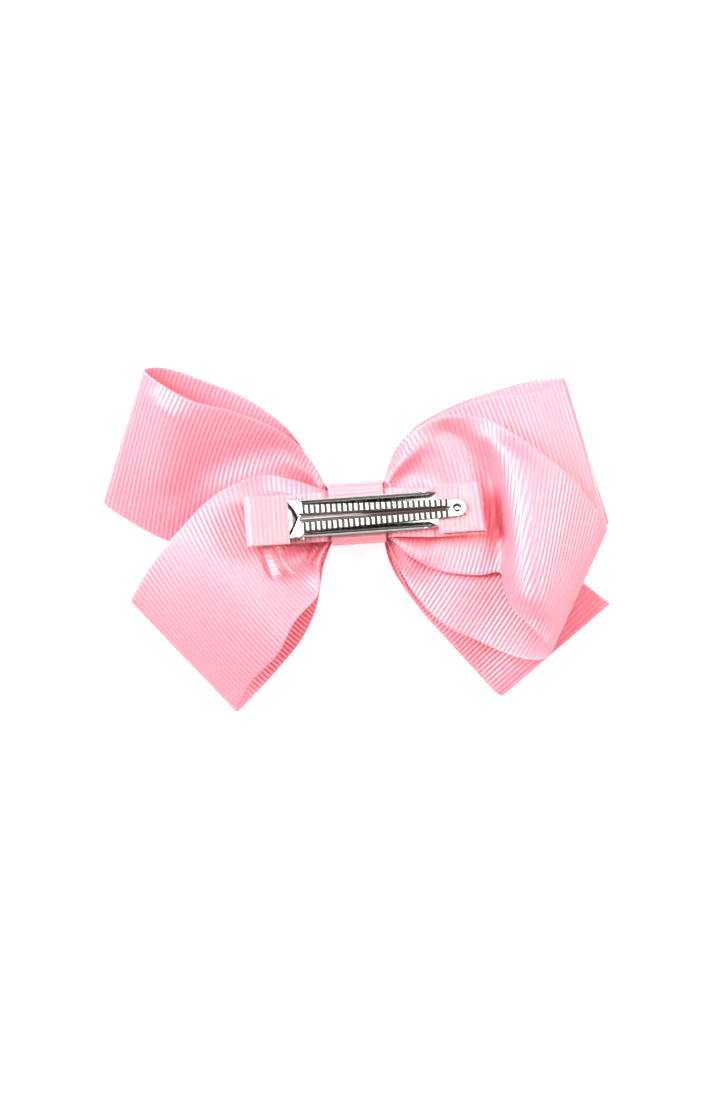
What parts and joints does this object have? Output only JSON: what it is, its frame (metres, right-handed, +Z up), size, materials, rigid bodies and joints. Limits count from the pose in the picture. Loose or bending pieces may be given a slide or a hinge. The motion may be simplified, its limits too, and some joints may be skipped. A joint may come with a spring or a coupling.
{
  "type": "ribbon hair bow with alligator clip",
  "caption": "Hair bow of gathered grosgrain ribbon loops with a wrapped centre, on a ribbon-covered sprung clip with a toothed jaw that opens to grip hair.",
  "frame": {"origin": "middle of the footprint, on the surface the bow lies on face down", "axes": "+X along the bow towards the clip's tip, +Y across it towards the upper loops, +Z up from the bow's front to the clip on its back"},
  "size_m": [0.128, 0.0862, 0.0264],
  "materials": {
    "wide_ribbon": "matt woven rib",
    "narrow_ribbon": "matt woven rib",
    "thread": "matt",
    "glue": "satin",
    "nickel_plate": "polished",
    "spring_steel": "satin"
  },
  "bodies": {
    "bow": {"loop_upper_left": "wide_ribbon", "loop_lower_left": "wide_ribbon", "loop_upper_right": "wide_ribbon", "loop_lower_right": "wide_ribbon", "loop_front_right": "wide_ribbon", "gathered_knot": "wide_ribbon", "centre_wrap": "narrow_ribbon", "clip_band": "narrow_ribbon", "frayed_strip": "narrow_ribbon", "loose_strand": "thread", "binding_thread": "thread", "glue_pad": "glue", "clip_arm": "nickel_plate", "hinge_pin": "spring_steel", "torsion_spring": "spring_steel"},
    "jaw": {"clip_jaw": "nickel_plate"}
  },
  "joints": [
    {"name": "jaw_hinge", "type": "hinge", "parent": "bow", "child": "jaw", "pos_m": [-0.01367, 0.00529, 0.01951], "axis": [0.0698, -0.9976, 0], "range_deg": [0, 20], "stiffness_Nm_per_rad": 0.057, "springref_deg": -20.05, "deforming": ["torsion_spring"]}
  ]
}
